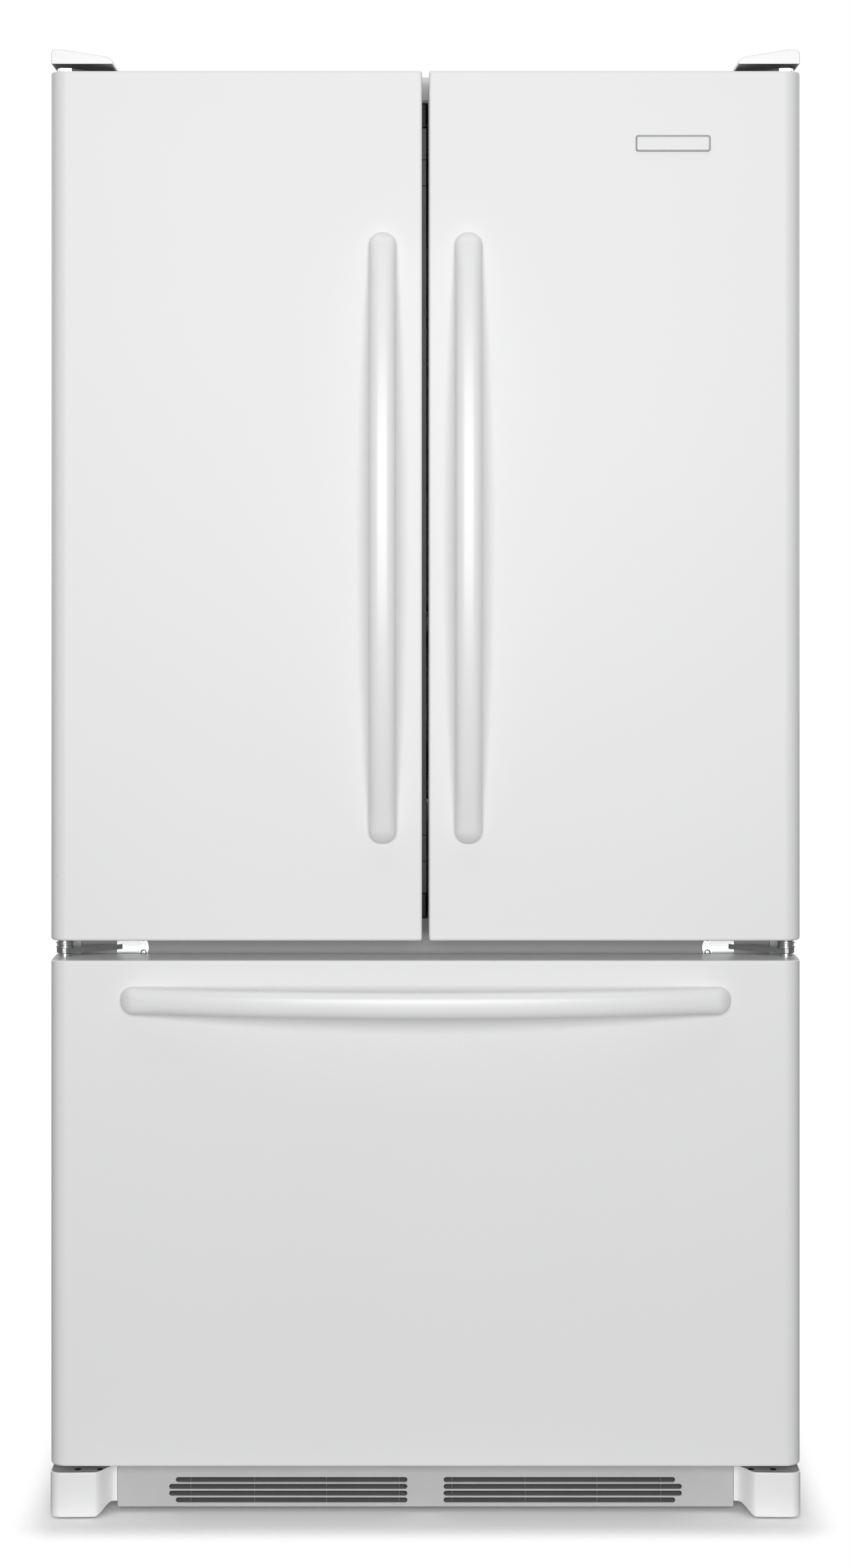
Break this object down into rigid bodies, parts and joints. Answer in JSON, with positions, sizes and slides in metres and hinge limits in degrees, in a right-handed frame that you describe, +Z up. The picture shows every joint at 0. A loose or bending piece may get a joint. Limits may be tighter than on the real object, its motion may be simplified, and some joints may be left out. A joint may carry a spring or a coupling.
{
  "type": "french door refrigerator",
  "caption": "French door refrigerator: hinged upper doors with a folding centre strip, shelves and crisper drawers inside, and a pull-out freezer drawer on telescopic slides.",
  "frame": {"origin": "on the floor, at the middle of the outer box's base", "axes": "+Z up, the doors face -Y, +X to the viewer's right"},
  "size_m": [0.905, 0.876, 1.772],
  "materials": {
    "white_enamel": "satin",
    "white_plastic": "satin",
    "liner_white": "satin",
    "grey_rail": "satin",
    "grey_plastic": "matte",
    "dark_plastic": "matte",
    "zinc_steel": "satin",
    "hinge_chrome": "polished",
    "black_steel": "satin",
    "seal": "matte",
    "clear_plastic": "gloss",
    "shelf_glass": "gloss",
    "roller_plastic": "matte"
  },
  "bodies": {
    "cabinet": {"cabinet_wrapper": "white_enamel", "centre_rail": "grey_rail", "base_pan": "zinc_steel", "fridge_liner": "liner_white", "freezer_liner": "liner_white", "base_grille": "grey_plastic", "left_foot_cover": "white_plastic", "right_foot_cover": "white_plastic", "left_levelling_leg": "zinc_steel", "right_levelling_leg": "zinc_steel", "machine_cover": "grey_plastic", "compressor": "black_steel", "condenser_coil": "black_steel", "evaporator_cover": "liner_white", "left_top_hinge": "hinge_chrome", "right_top_hinge": "hinge_chrome", "left_hinge_cover": "white_plastic", "right_hinge_cover": "white_plastic", "left_centre_hinge": "hinge_chrome", "right_centre_hinge": "hinge_chrome", "left_upper_shelf": "shelf_glass", "left_lower_shelf": "shelf_glass", "right_shelf": "shelf_glass", "crisper_cover": "shelf_glass", "air_tower": "liner_white", "control_housing": "liner_white", "left_cabinet_slide": "zinc_steel", "right_cabinet_slide": "zinc_steel"},
    "left_door": {"left_door_panel": "white_enamel", "left_door_liner": "liner_white", "left_gasket": "seal", "left_handle": "white_plastic", "left_upper_bin": "clear_plastic", "left_lower_bin": "clear_plastic"},
    "mullion": {"mullion": "dark_plastic"},
    "right_door": {"right_door_panel": "white_enamel", "right_door_liner": "liner_white", "right_gasket": "seal", "right_handle": "white_plastic", "right_bin": "clear_plastic", "dairy_box": "liner_white", "badge": "zinc_steel"},
    "dairy_lid": {"dairy_lid": "clear_plastic"},
    "freezer_drawer": {"drawer_front": "white_enamel", "drawer_liner": "liner_white", "drawer_gasket": "seal", "drawer_handle": "white_plastic", "drawer_frame": "zinc_steel", "lower_basket": "white_plastic"},
    "middle_slides": {"left_middle_slide": "zinc_steel", "right_middle_slide": "zinc_steel"},
    "upper_basket": {"upper_basket": "white_plastic"},
    "left_crisper": {"left_crisper": "clear_plastic"},
    "right_crisper": {"right_crisper": "clear_plastic"},
    "pantry_drawer": {"pantry_drawer": "clear_plastic"},
    "temperature_dial": {"temperature_dial": "white_plastic"},
    "left_rear_roller": {"left_rear_roller": "roller_plastic"},
    "right_rear_roller": {"right_rear_roller": "roller_plastic"},
    "condenser_fan": {"condenser_fan": "dark_plastic"},
    "evaporator_fan": {"evaporator_fan": "dark_plastic"}
  },
  "joints": [
    {"name": "left_door_hinge", "type": "hinge", "parent": "cabinet", "child": "left_door", "pos_m": [-0.4385, -0.336, 0.696], "axis": [0, 0, -1], "range_deg": [0, 130]},
    {"name": "mullion_hinge", "type": "hinge", "parent": "left_door", "child": "mullion", "pos_m": [-0.05, -0.29, 0.71525], "axis": [0, 0, 1], "range_deg": [0, 85.1]},
    {"name": "right_door_hinge", "type": "hinge", "parent": "cabinet", "child": "right_door", "pos_m": [0.4385, -0.336, 0.696], "axis": [0, 0, 1], "range_deg": [0, 130]},
    {"name": "dairy_lid_hinge", "type": "hinge", "parent": "right_door", "child": "dairy_lid", "pos_m": [0.2145, -0.213, 1.62304], "axis": [1, 0, 0], "range_deg": [0, 80]},
    {"name": "freezer_drawer_slide", "type": "slide", "parent": "cabinet", "child": "freezer_drawer", "axis": [0, -1, 0], "range_m": [0, 0.42]},
    {"name": "middle_slides_slide", "type": "slide", "parent": "cabinet", "child": "middle_slides", "axis": [0, -1, 0], "range_m": [0, 0.2101]},
    {"name": "upper_basket_slide", "type": "slide", "parent": "freezer_drawer", "child": "upper_basket", "axis": [0, 1, 0], "range_m": [0, 0.16]},
    {"name": "left_crisper_slide", "type": "slide", "parent": "cabinet", "child": "left_crisper", "axis": [0, -1, 0], "range_m": [0, 0.058]},
    {"name": "right_crisper_slide", "type": "slide", "parent": "cabinet", "child": "right_crisper", "axis": [0, -1, 0], "range_m": [0, 0.058]},
    {"name": "pantry_drawer_slide", "type": "slide", "parent": "cabinet", "child": "pantry_drawer", "axis": [0, -1, 0], "range_m": [0, 0.058]},
    {"name": "temperature_dial_turn", "type": "hinge", "parent": "cabinet", "child": "temperature_dial", "pos_m": [0, -0.119, 1.6972], "axis": [0, -1, 0], "range_deg": [0, 240]},
    {"name": "left_roller_spin", "type": "hinge", "parent": "cabinet", "child": "left_rear_roller", "pos_m": [-0.437, 0.378, 0.019], "axis": [1, 0, 0], "continuous": true},
    {"name": "right_roller_spin", "type": "hinge", "parent": "cabinet", "child": "right_rear_roller", "pos_m": [0.437, 0.378, 0.019], "axis": [1, 0, 0], "continuous": true},
    {"name": "condenser_fan_spin", "type": "hinge", "parent": "cabinet", "child": "condenser_fan", "pos_m": [-0.08, 0.33475, 0.15], "axis": [1, 0, 0], "continuous": true},
    {"name": "evaporator_fan_spin", "type": "hinge", "parent": "cabinet", "child": "evaporator_fan", "pos_m": [0, 0.3355, 0.58895], "axis": [0, 1, 0], "continuous": true}
  ],
  "couplings": [
    {"joint": "mullion_hinge", "follows": "left_door_hinge", "ratio": 0.6538},
    {"joint": "middle_slides_slide", "follows": "freezer_drawer_slide", "ratio": 0.5}
  ]
}
